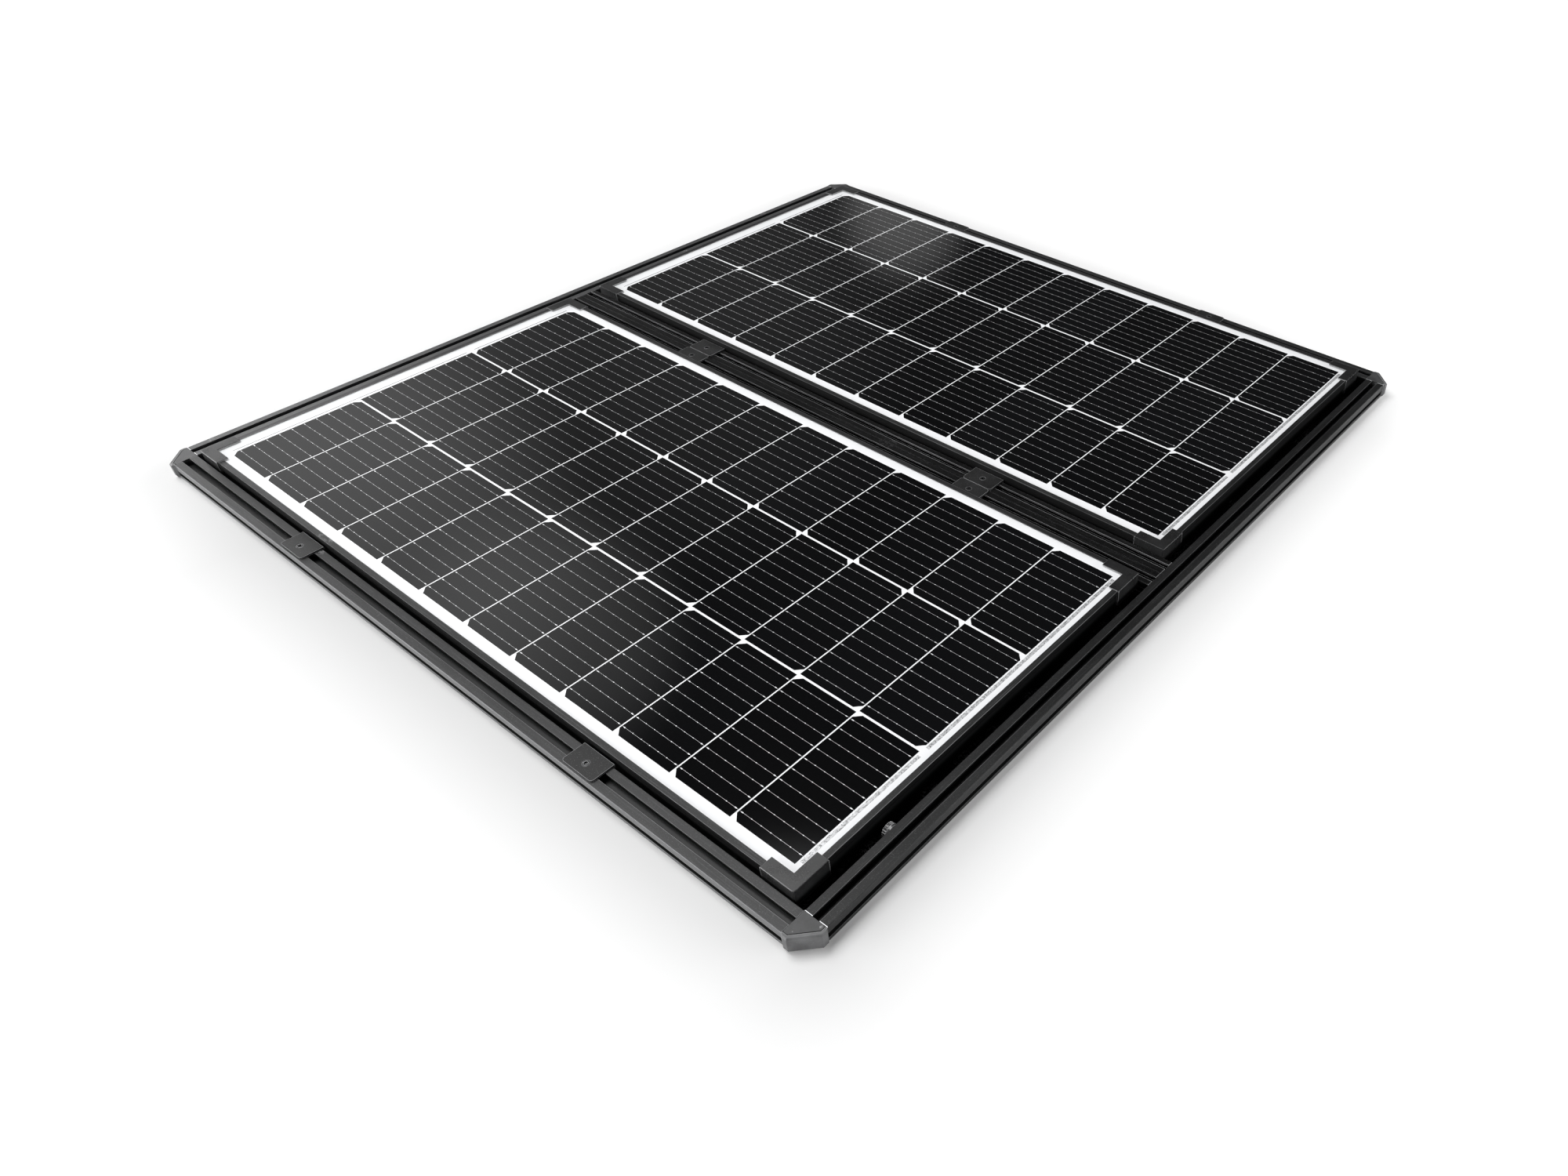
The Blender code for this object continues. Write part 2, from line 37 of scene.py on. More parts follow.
# ---- cells and what joins them ----
GRID_START = -552.6 * MM        # low-x edge of the cell grid
PITCH_X = 93.0 * MM
PITCH_Y = 185.0 * MM
CELLS = 12                      # half cells in a string
STRINGS = 3
CELL_X = 91.2 * MM
CELL_Y = 182.0 * MM
CELL_CORNER = 8.0 * MM
BUSBARS = 10
BUSBAR_PITCH = 17.7 * MM
BUSBAR_WIDTH = 0.32 * MM
PADS = 5                        # small pads between a busbar's two forked ends
PAD_SIZE = (1.6 * MM, 0.9 * MM)
FORK_SIZE = (3.0 * MM, 1.2 * MM)
FORK_INSET = 4.0 * MM
THIN_RIBBON = (5.0 * MM, 6.5 * MM)      # at the low-x end: its two edges' distances from the cells
WIDE_RIBBON = (2.0 * MM, 6.5 * MM)      # the same at the high-x end
RIBBON_INSET = 5.0 * MM         # from the edge of a string to the end of its ribbon

# depths below the top of the glass
BACKSHEET_DEPTH = 0.16 * MM
CELL_DEPTH = 0.10 * MM
BUSBAR_DEPTH = 0.06 * MM
PAD_DEPTH = 0.03 * MM
SEAT = 0.30 * MM                # how far each layer reaches into the one below it

# ---- screws ----
SCREW_SIDES = 24
SOCKET_RADIUS = 2.35 * MM
SOCKET_DEPTH = 1.4 * MM
SOCKET_BEVEL = 0.15 * MM
SHANK_SHARE = 0.6               # the shank's radius, as a share of the head's
HEAD_HEIGHT = 1.9 * MM
HEAD_RIM = 0.4 * MM             # height of the head's upright rim, with its rounding
HEAD_ROUND = 0.35 * MM
HEAD_ROUND_MIDDLE = (0.105 * MM, 0.1 * MM)      # a point on the rounding: in from the rim, below the top

# ---- where the finish of a CAD node changes, and where painted shade and painted light begin on it ----
PAINTED_LIT_WALL_FROM = 662.9 * MM          # beyond this |Y| the side rails' outer wall is painted lighter, as painted light
RAIL_SHADE_BELOW = 21.5 * MM    # below this Z the side rails are in shade
BAR_SHADE_BELOW = 33.6 * MM     # below this Z the modules' frame bars are in shade
CUT_FROM = 632.1 * MM           # beyond this |Y| the end rails show their bare cut edge,
CUT_ABOVE = 22.5 * MM           # on the top flange only
SHADE_FADE = 0.4 * MM
WALL_FADE = 0.3 * MM
CUT_FADE = 0.1 * MM
CRUMBS_FROM = (3.0 * MM, 3.5 * MM)      # heights over which the skin panel's crumbs set in

# ---- wear, painted edge highlights and grain ----
EDGE_WEAR_AND_HIGHLIGHT_WIDTH = 0.7 * MM           # edge wear on metal, painted lighter also as edge highlights
PLASTIC_EDGE_WEAR_AND_HIGHLIGHT_WIDTH = 0.9 * MM
EDGE_WEAR_AND_HIGHLIGHT_GREY = 0.40                # grey of edge wear on plastic and plate, painted lighter also as edge highlights
NOISE_ROUGHNESS = 0.55
FINGER_PITCH = 1.3 * MM         # between the cells' printed fingers

# ---- rounding on the edges of CAD nodes ----
RAIL_ROUND = 0.25 * MM
CASTING_ROUND = 0.5 * MM
BAR_ROUND = 0.22 * MM
BOX_ROUND = 0.6 * MM
PART_ROUND = 0.3 * MM           # gland, caps, clamps and T-nuts
FINE_ROUND = 0.2 * MM           # insert plates and gland nut

# ---- camera ----
CAMERA_PLACE = (1.1309, -1.0003, 0.9689)
CAMERA_TURN = (48.924, -1.980, 36.283)
LENS = 25.96
SHIFT_X = -0.175

# ---- studio ----
SKY_BASE = 0.03
SKY_PATCHES = (                 # azimuth from -X towards +Y, elevation, half width in degrees, strength
    (8, 20, 22, 0.42),
    (50, 4, 16, 0.50),
    (12, 34, 14, 0.75),
    (23, 40, 7, 0.60),
    (46.5, 23, 3.5, 0.55),
    (31, 26, 15, 0.14),
    (28, 64, 13, 4.0),
)
SOFTBOXES = (                   # name, azimuth from -X towards +Y, elevation, size, watts
    ("low_front_left", -60, 12, (5.6, 2.4), 390.0),
    ("low_left", -8, 8, (6.0, 1.6), 230.0),
    ("low_front_right", -138, 12, (4.5, 2.4), 75.0),
    ("low_back", 150, 9, (6.0, 1.6), 300.0),
    ("top", -20, 66, (4.2, 4.2), 350.0),
)
SOFTBOX_REACH = 7.0
FLOOR_HALF = 12.0
FLOOR_GREY = (0.67, 0.79)       # painted shadow: the floor's grey, darker at the panel's low-x end than at its high-x end
FLOOR_GLOW = (0.0, 0.40)        # painted light: glow beside the panel, and at FLOOR_FADE from it; the low glow beside the panel leaves a painted shadow
FLOOR_FADE = 0.22
FLOOR_FAR = (2.0, 6.0)          # the floor turns plain white between these distances
CONTACT_FILL = (0.03, 0.20)     # painted light: reach and glow beside the high-x end, where the lamps leave a dark line
SIDE_FILL = (0.02, 0.16)        # painted light: glow beside the high-x end, at its near and its far corner
SIDE_SETS_IN = ((0.31, 0.62), (-0.69, -0.57))       # x and y over which these two set in
BACK_FILL = 0.16                # painted light: glow beyond the low-x end and the far side
BACK_SETS_IN = ((-0.38, -0.72), (0.53, 0.68))       # x, or y, over which it sets in
PANEL_HALF = (0.62, 0.65)       # distances on the floor count from this rectangle round the origin
BACKSHEET_GLOW = 0.12           # painted light: the backsheet glows a little, which keeps the white margins clear at grazing light

ROWS = ("near", "far")


# ---- node helpers ----
class Tree:
    """Short ways to add and link nodes of one material."""

    def __init__(self, name):
        self.material = bpy.data.materials.new(name)
        self.material.use_nodes = True
        self.nodes = self.material.node_tree.nodes
        self.links = self.material.node_tree.links
        self.shader = self.nodes["Principled BSDF"]
        self.place = self.nodes.new("ShaderNodeTexCoord").outputs["Object"]

    def set(self, **values):
        for name, value in values.items():
            self.shader.inputs[name.replace("_", " ").title().replace("Ior", "IOR")].default_value = value

    def link(self, source, target):
        self.links.new(source, target)

    def noise(self, scale, detail=3.0, stretch=(1, 1, 1)):
        mapping = self.nodes.new("ShaderNodeMapping")
        mapping.inputs["Scale"].default_value = stretch
        self.link(self.place, mapping.inputs["Vector"])
        made = self.nodes.new("ShaderNodeTexNoise")
        made.inputs["Scale"].default_value = scale
        made.inputs["Detail"].default_value = detail
        made.inputs["Roughness"].default_value = NOISE_ROUGHNESS
        self.link(mapping.outputs["Vector"], made.inputs["Vector"])
        return made.outputs["Fac"]

    def ramp(self, source, low, high, start=0.0, end=1.0):
        """Maps source from low..high to start..end, held beyond both ends."""
        made = self.nodes.new("ShaderNodeMapRange")
        for name, value in (("From Min", low), ("From Max", high), ("To Min", start), ("To Max", end)):
            made.inputs[name].default_value = value
        self.link(source, made.inputs["Value"])
        return made.outputs["Result"]

    def math(self, operation, first, second=0.0):
        made = self.nodes.new("ShaderNodeMath")
        made.operation = operation
        for socket, value in zip(made.inputs, (first, second)):
            if isinstance(value, (int, float)):
                socket.default_value = value
            else:
                self.link(value, socket)
        return made.outputs["Value"]

    def mix(self, factor, first, second):
        made = self.nodes.new("ShaderNodeMix")
        made.data_type = "RGBA"
        self.link(factor, made.inputs["Factor"])
        for name, value in (("A", first), ("B", second)):
            socket = next(s for s in made.inputs if s.name == name and s.type == "RGBA")
            if isinstance(value, tuple):
                socket.default_value = (*value, 1.0)
            else:
                self.link(value, socket)
        return next(s for s in made.outputs if s.type == "RGBA")

    def axis(self, name):
        split = self.nodes.new("ShaderNodeSeparateXYZ")
        self.link(self.place, split.inputs["Vector"])
        return split.outputs[name]

    def edges(self, width=EDGE_WEAR_AND_HIGHLIGHT_WIDTH):
        """1 on outside edges, fading to 0 within the width: the mask of edge wear and painted edge
        highlights.
        """
        made = self.nodes.new("ShaderNodeAmbientOcclusion")
        made.inside = True
        made.only_local = True
        made.samples = 8
        made.inputs["Distance"].default_value = width
        return self.ramp(made.outputs["AO"], 0.85, 0.55)

    def bump(self, height, distance, strength):
        made = self.nodes.new("ShaderNodeBump")
        made.inputs["Distance"].default_value = distance
        made.inputs["Strength"].default_value = strength
        self.link(height, made.inputs["Height"])
        self.link(made.outputs["Normal"], self.shader.inputs["Normal"])

    def colour(self, source):
        self.link(source, self.shader.inputs["Base Color"])

    def roughness(self, source):
        self.link(source, self.shader.inputs["Roughness"])


def grey(value):
    return (value, value * 1.01, value * 1.03)


# ---- materials ----
def extrusion(name, along, dark, light, edge, reach=EDGE_WEAR_AND_HIGHLIGHT_WIDTH, shine=0.4, drawn=0.25, dark_below=0.0,
              painted_lit_wall=0.0, bare_ends=False):
    """Satin black anodised aluminium, with die lines along one axis, dust, scuffs and edge wear painted
    lighter also as edge highlights; where asked, painted shade below a height and an outer wall painted
    lighter as painted light.

    dark, light: greys between which it varies; edge, reach: grey and width of its worn edges
    edge, reach: grey and width of its edge wear, painted lighter also as edge highlights
    dark_below: height of the top of its painted shaded part; painted_lit_wall: |Y| where its outer wall,
    painted lighter as painted light, begins
    bare_ends: whether its cut ends show bare metal
    """
    tree = Tree(name)
    tree.set(metallic=0.25, specular_ior_level=shine)
    stretch = {"X": (0.02, 1, 1), "Y": (1, 0.02, 1)}[along]
    lines = tree.noise(600.0, 2.0, stretch)
    cloud = tree.noise(9.0, 3.0)
    colour = tree.mix(tree.ramp(cloud, 0.3, 0.7), grey(dark), grey(light))
    colour = tree.mix(tree.ramp(lines, 0.55, 0.70, 0.0, drawn), colour, grey(light * 3.0))
    dust = tree.noise(700.0, 2.0)
    colour = tree.mix(tree.ramp(dust, 0.58, 0.78, 0.0, 0.22), colour, grey(0.22))
    scuffs = tree.math("MULTIPLY", tree.ramp(tree.noise(13.0, 1.0), 0.70, 0.76),
                       tree.ramp(tree.noise(330.0, 3.0), 0.48, 0.62))
    colour = tree.mix(scuffs, colour, grey(light * 6.0))
    # edge wear, painted lighter also as edge highlights
    wear_and_highlight = tree.math("MULTIPLY", tree.edges(reach), tree.ramp(cloud, 0.3, 0.6, 0.4, 1.0))
    colour = tree.mix(wear_and_highlight, colour, grey(edge))
    if dark_below:
        side = tree.ramp(tree.axis("Z"), dark_below, dark_below - SHADE_FADE)
        colour = tree.mix(side, colour, grey(dark * 0.5))
    if painted_lit_wall:
        # painted light: the outer wall painted lighter, for the light that falls on it
        wall = tree.ramp(tree.math("ABSOLUTE", tree.axis("Y")), painted_lit_wall - WALL_FADE, painted_lit_wall)
        colour = tree.mix(wall, colour, grey(light * 3.8))
    if bare_ends:
        end = tree.ramp(tree.math("ABSOLUTE", tree.axis("Y")), CUT_FROM - CUT_FADE, CUT_FROM)
        flange = tree.ramp(tree.axis("Z"), CUT_ABOVE - CUT_FADE, CUT_ABOVE + CUT_FADE)
        end = tree.math("MULTIPLY", end, flange)
        colour = tree.mix(end, colour, grey(0.95))
    tree.colour(colour)
    tree.roughness(tree.ramp(lines, 0.3, 0.7, 0.34, 0.44))
    tree.bump(lines, 0.02 * MM, 0.6)
    return tree.material


def casting(name, dark, light, edge):
    """Black powder coat over a casting: fine orange peel, rubbed patches, a few bright scratches and edge
    wear, painted lighter also as edge highlights.
    """
    tree = Tree(name)
    tree.set(metallic=0.15)
    patches = tree.noise(55.0, 4.0)
    scratches = tree.noise(160.0, 2.0, (1, 1, 7))
    peel = tree.noise(1500.0, 2.0)
    colour = tree.mix(tree.ramp(patches, 0.35, 0.70), grey(dark), grey(light))
    colour = tree.mix(tree.ramp(scratches, 0.70, 0.76, 0.0, 0.55), colour, grey(0.42))
    # edge wear, painted lighter also as edge highlights
    tree.colour(tree.mix(tree.edges(), colour, grey(edge)))
    tree.roughness(tree.ramp(patches, 0.3, 0.7, 0.42, 0.60))
    tree.bump(peel, 0.06 * MM, 0.5)
    return tree.material


def plastic(name, value, grain=1800.0, roughness=0.48):
    """Moulded black plastic with a fine grain, dust and edge wear, painted lighter also as edge
    highlights.
    """
    tree = Tree(name)
    grain_height = tree.noise(grain, 2.0)
    cloud = tree.noise(30.0, 3.0)
    colour = tree.mix(tree.ramp(cloud, 0.3, 0.7), grey(value * 0.8), grey(value * 1.25))
    dust = tree.noise(600.0, 2.0)
    colour = tree.mix(tree.ramp(dust, 0.60, 0.78, 0.0, 0.25), colour, grey(0.20))
    # edge wear, painted lighter also as edge highlights
    tree.colour(tree.mix(tree.edges(PLASTIC_EDGE_WEAR_AND_HIGHLIGHT_WIDTH), colour, grey(EDGE_WEAR_AND_HIGHLIGHT_GREY)))
    tree.roughness(tree.ramp(cloud, 0.3, 0.7, roughness - 0.06, roughness + 0.06))
    tree.bump(grain_height, 0.05 * MM, 0.5)
    return tree.material


def coated_plate(name):
    """Black-coated steel of the clamps, with light speckle and edge wear, painted lighter also as edge
    highlights.
    """
    tree = Tree(name)
    tree.set(specular_ior_level=0.3)
    speck = tree.noise(1100.0, 1.0)
    cloud = tree.noise(40.0, 3.0)
    colour = tree.mix(tree.ramp(cloud, 0.3, 0.7), grey(0.008), grey(0.016))
    colour = tree.mix(tree.ramp(speck, 0.66, 0.76, 0.0, 0.4), colour, grey(0.25))
    # edge wear, painted lighter also as edge highlights
    tree.colour(tree.mix(tree.edges(), colour, grey(EDGE_WEAR_AND_HIGHLIGHT_GREY)))
    tree.roughness(tree.ramp(cloud, 0.3, 0.7, 0.40, 0.52))
    tree.bump(speck, 0.03 * MM, 0.5)
    return tree.material


def screw_steel(name, value):
    tree = Tree(name)
    tree.set(metallic=1.0)
    wear = tree.noise(700.0, 3.0)
    tree.colour(tree.mix(tree.ramp(wear, 0.4, 0.7), grey(value * 0.6), grey(value * 1.5)))
    tree.roughness(tree.ramp(wear, 0.3, 0.7, 0.25, 0.42))
    return tree.material


def skin(name):
    """Matte black sheet with settled dust and crumbs."""
    tree = Tree(name)
    tree.set(specular_ior_level=0.1)
    dust = tree.noise(260.0, 4.0)
    crumbs = tree.math("MULTIPLY", tree.ramp(tree.noise(420.0, 1.0), 0.55, 0.60),
                       tree.ramp(tree.noise(22.0, 2.0), 0.50, 0.62))
    crumbs = tree.math("MULTIPLY", crumbs, tree.ramp(tree.axis("Z"), *CRUMBS_FROM))
    colour = tree.mix(tree.ramp(dust, 0.45, 0.80), grey(0.002), grey(0.010))
    tree.colour(tree.mix(crumbs, colour, grey(0.16)))
    tree.roughness(tree.ramp(dust, 0.3, 0.7, 0.55, 0.75))
    tree.bump(dust, 0.1 * MM, 0.4)
    return tree.material


def under_glass(tree):
    """What lies under the glass is seen through its smooth outer surface."""
    tree.set(coat_weight=1.0, coat_roughness=0.07, coat_ior=1.45)


def backsheet(name):
    tree = Tree(name)
    under_glass(tree)
    cloud = tree.noise(20.0, 2.0)
    tree.colour(tree.mix(cloud, grey(0.86), grey(0.90)))
    # painted light: a faint glow of the backsheet
    tree.set(emission_color=(1, 1, 1, 1), emission_strength=BACKSHEET_GLOW)
    tree.roughness(tree.ramp(cloud, 0.3, 0.7, 0.5, 0.6))
    return tree.material


def silicon(name):
    """Dark monocrystalline cell: each one a slightly different shade, with its printed fingers."""
    tree = Tree(name)
    under_glass(tree)
    tree.set(specular_ior_level=0.0)
    island = tree.nodes.new("ShaderNodeNewGeometry").outputs["Random Per Island"]
    colour = tree.mix(island, (0.0015, 0.0016, 0.0019), (0.0032, 0.0034, 0.0040))
    fingers = tree.nodes.new("ShaderNodeTexWave")
    fingers.wave_type = "BANDS"
    fingers.bands_direction = "X"
    fingers.inputs["Scale"].default_value = 2 * math.pi / 20 / FINGER_PITCH     # 20 radians a unit
    tree.link(tree.place, fingers.inputs["Vector"])
    printed = tree.ramp(fingers.outputs["Fac"], 0.80, 1.0, 0.0, 0.03)
    colour = tree.mix(printed, colour, grey(0.20))
    mottle = tree.noise(420.0, 2.0)
    colour = tree.mix(tree.ramp(mottle, 0.60, 0.75, 0.0, 0.03), colour, grey(0.10))
    tree.colour(colour)
    tree.roughness(tree.ramp(mottle, 0.3, 0.7, 0.35, 0.50))
    return tree.material


def ribbon_metal(name, low, high, crease_shade=0.0):
    """Tinned copper under the glass, with short dark lines along it, painted shade where it is crinkled.
    """
    tree = Tree(name)
    under_glass(tree)
    tree.set(metallic=0.3)
    wave = tree.noise(240.0, 2.0)
    colour = tree.mix(tree.ramp(wave, 0.4, 0.6), grey(low), grey(high))
    if crease_shade:
        crinkle = tree.noise(260.0, 3.0, (1.6, 0.7, 1))
        crease = tree.math("ABSOLUTE", tree.math("SUBTRACT", crinkle, 0.5))
        # painted shade: dark lines standing in for the shade in its crinkles
        colour = tree.mix(tree.ramp(crease, 0.012, 0.030, crease_shade, 0.0), colour, grey(0.05))
    tree.colour(colour)
    tree.roughness(tree.ramp(wave, 0.3, 0.7, 0.35, 0.55))
    return tree.material


# ---- mesh helpers ----
def finish_piece(shape, name, material, body):
    mesh = bpy.data.meshes.new(name)
    shape.to_mesh(mesh)
    shape.free()
    mesh.materials.append(material)
    piece = bpy.data.objects.new(name, mesh)
    bpy.context.scene.collection.objects.link(piece)
    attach(piece, body)
    return piece


def add_slab(shape, outline, low, high):
    """A closed prism over a flat outline that runs counterclockwise."""
    bottom = [shape.verts.new((x, y, low)) for x, y in outline]
    top = [shape.verts.new((x, y, high)) for x, y in outline]
    count = len(outline)
    for k in range(count):
        after = (k + 1) % count
        shape.faces.new((bottom[k], bottom[after], top[after], top[k]))
    shape.faces.new(list(reversed(bottom)))
    shape.faces.new(top)


def add_box(shape, centre, size, low, high):
    x, y = centre
    half_x, half_y = size[0] / 2, size[1] / 2
    outline = [(x - half_x, y - half_y), (x + half_x, y - half_y), (x + half_x, y + half_y),
               (x - half_x, y + half_y)]
    add_slab(shape, outline, low, high)


# ---- the laminate ----
def cell_outline(x, y, corners_low):
    """A half cell centred on x, y, with its two clipped corners at its low-x or its high-x edge."""
    half_x, half_y, clip = CELL_X / 2, CELL_Y / 2, CELL_CORNER
    outline = [(half_x, -half_y), (half_x, half_y), (-half_x + clip, half_y), (-half_x, half_y - clip),
               (-half_x, -half_y + clip), (-half_x + clip, -half_y)]
    if not corners_low:
        outline = [(-u, v) for u, v in reversed(outline)]
    return [(x + u, y + v) for u, v in outline]


def string_rows(middle):
    """The middle y of each string, with True where its clipped corners are at the low-x edge."""
    return [(middle + (k - (STRINGS - 1) / 2) * PITCH_Y, k % 2 == 0) for k in range(STRINGS)]


def cell_columns():
    return [GRID_START + (k + 0.5) * PITCH_X for k in range(CELLS)]


def cells(row, middle, top, material):
    shape = bmesh.new()
    low = top - BACKSHEET_DEPTH - SEAT
    for y, corners_low in string_rows(middle):
        for x in cell_columns():
            add_slab(shape, cell_outline(x, y, corners_low), low, top - CELL_DEPTH)
    finish_piece(shape, row + "_cells", material, row + "_module")


def busbar_rows(y):
    return [y + (k - (BUSBARS - 1) / 2) * BUSBAR_PITCH for k in range(BUSBARS)]


def busbars(row, middle, top, wire, pad):
    """Thin wires along each string, with a fork at each end of a cell and pads between them."""
    wires = bmesh.new()
    pads = bmesh.new()
    low = top - CELL_DEPTH - SEAT
    reach = CELL_X / 2 - FORK_INSET
    length = (CELLS - 1) * PITCH_X + CELL_X + WIDE_RIBBON[0] + THIN_RIBBON[0]
    centre = GRID_START + (PITCH_X - CELL_X) / 2 - THIN_RIBBON[0] + length / 2
    for y, _ in string_rows(middle):
        for bar in busbar_rows(y):
            add_box(wires, (centre, bar), (length, BUSBAR_WIDTH), low, top - BUSBAR_DEPTH)
            for x in cell_columns():
                for side in (-1, 1):
                    add_box(pads, (x + side * reach, bar), FORK_SIZE, low, top - PAD_DEPTH)
                for k in range(PADS):
                    step = (k + 1) * 2 * reach / (PADS + 1) - reach
                    add_box(pads, (x + step, bar), PAD_SIZE, low, top - PAD_DEPTH)
    finish_piece(wires, row + "_busbars", wire, row + "_module")
    finish_piece(pads, row + "_busbar_pads", pad, row + "_module")


def ribbons(row, middle, top, thin, wide):
    """Cross ribbons: strings one and two are joined at the low-x end, two and three at the other."""
    low, high = top - BACKSHEET_DEPTH - SEAT, top - CELL_DEPTH
    first = GRID_START + (PITCH_X - CELL_X) / 2
    last = GRID_START + CELLS * PITCH_X - (PITCH_X - CELL_X) / 2
    rows = [y for y, _ in string_rows(middle)]
    half = CELL_Y / 2 - RIBBON_INSET
    for name, edge, sign, (near, far), groups, material in (
            ("thin", first, -1, THIN_RIBBON, ((0, 1), (2, 2)), thin),
            ("wide", last, 1, WIDE_RIBBON, ((0, 0), (1, 2)), wide)):
        shape = bmesh.new()
        x = edge + sign * (near + far) / 2
        for start, end in groups:
            low_y, high_y = rows[start] - half, rows[end] + half
            add_box(shape, (x, (low_y + high_y) / 2), (far - near, high_y - low_y), low, high)
        finish_piece(shape, row + "_ribbon_" + name, material, row + "_module")


def laminate(row, looks):
    """The glass, cells and backsheet of one module, in the space of its CAD laminate."""
    low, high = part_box(row + "_laminate")
    middle = (low[1] + high[1]) / 2
    shape = bmesh.new()
    add_box(shape, ((low[0] + high[0]) / 2, middle), (high[0] - low[0], high[1] - low[1]), low[2],
            high[2] - BACKSHEET_DEPTH)
    sheet = finish_piece(shape, row + "_backsheet", looks["backsheet"], row + "_module")
    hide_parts(row + "_laminate")
    cells(row, middle, high[2], looks["silicon"])
    busbars(row, middle, high[2], looks["wire"], looks["pad"])
    ribbons(row, middle, high[2], looks["thin_ribbon"], looks["wide_ribbon"])


# ---- screws ----
def round_ring(radius):
    return [(radius * math.cos(a), radius * math.sin(a)) for a in ring_angles()]


def hex_ring(radius):
    """Points of a hexagon of that corner radius, at the same angles as a round ring's."""
    apothem = radius * math.cos(math.pi / 6)
    points = []
    for a in ring_angles():
        reach = apothem / math.cos(a % (math.pi / 3) - math.pi / 6)
        points.append((reach * math.cos(a), reach * math.sin(a)))
    return points


def ring_angles():
    return [2 * math.pi * k / SCREW_SIDES for k in range(SCREW_SIDES)]


def screw(node, body, material):
    """A countersunk screw with a hexagon socket, in place of its CAD node."""
    low, high = (Vector(corner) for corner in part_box(node))
    radius = (high.x - low.x) / 2
    shank = radius * SHANK_SHARE
    top = high.z
    rings = [
        (round_ring(shank), low.z),
        (round_ring(shank), top - HEAD_HEIGHT),
        (round_ring(radius), top - HEAD_RIM),
        (round_ring(radius - HEAD_ROUND_MIDDLE[0]), top - HEAD_ROUND_MIDDLE[1]),
        (round_ring(radius - HEAD_ROUND), top),
        (hex_ring(SOCKET_RADIUS + SOCKET_BEVEL), top),
        (hex_ring(SOCKET_RADIUS), top - SOCKET_BEVEL),
        (hex_ring(SOCKET_RADIUS), top - SOCKET_DEPTH),
    ]
    shape = bmesh.new()
    middle = (low + high) / 2
    made = [[shape.verts.new((middle.x + x, middle.y + y, z)) for x, y in ring] for ring, z in rings]
    for lower, upper in zip(made, made[1:]):
        for k in range(SCREW_SIDES):
            after = (k + 1) % SCREW_SIDES
            shape.faces.new((lower[k], lower[after], upper[after], upper[k]))
    shape.faces.new(list(reversed(made[0])))
    shape.faces.new(made[-1])
    piece = finish_piece(shape, node + "_detail", material, body)
    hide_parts(node)


# ---- CAD nodes that keep their shape ----
def dress(name, material, edge, segments=2):
    """Gives a CAD node its material, and rounds its edges unless edge is 0."""
    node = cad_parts[name]
    if node.material_slots:
        for entry in node.material_slots:
            entry.material = material
    else:
        node.data.materials.append(material)
    if edge:
        bevel = node.modifiers.new("soft_edges", "BEVEL")
        bevel.width = edge
        bevel.segments = segments
        bevel.limit_method = "ANGLE"
        bevel.angle_limit = math.radians(30)
        bevel.harden_normals = True


def dress_frame(looks):
    for name in ("side_rail_near", "side_rail_far"):
        dress(name, looks["rail_x"], RAIL_ROUND)
    dress("centre_rail", looks["rail_centre"], RAIL_ROUND)
    for side in ("left", "right"):
        dress("end_rail_" + side, looks["rail_" + side], RAIL_ROUND)
    for row in ROWS:
        for side in ("left", "right"):
            dress("corner_casting_" + row + "_" + side, looks["casting"], CASTING_ROUND, 3)
            dress("corner_insert_" + row + "_" + side, looks["insert"], FINE_ROUND)
    dress("skin_panel", looks["skin"], 0)
    dress("cable_gland", looks["gland"], PART_ROUND)
    dress("gland_nut", looks["gland"], FINE_ROUND, 1)


def dress_module(row, looks):
    for side, look in (("front", "bar_x"), ("back", "bar_x"), ("left", "bar_y"), ("right", "bar_y")):
        dress(row + "_frame_" + side, looks[look], BAR_ROUND)
    dress(row + "_junction_box", looks["plastic"], BOX_ROUND)
    for end in ("front", "back"):
        for side in ("left", "right"):
            dress(row + "_corner_cap_" + end + "_" + side, looks["cap"], PART_ROUND)
    for line in ("side", "centre"):
        for side in ("left", "right"):
            where = line + "_" + side
            dress(row + "_clamp_" + where, looks["plate"], PART_ROUND)
            dress(row + "_t_nut_" + where, looks["steel"], PART_ROUND)
            screw(row + "_screw_" + where, row + "_clamp_" + where + "_set", looks["screw"])


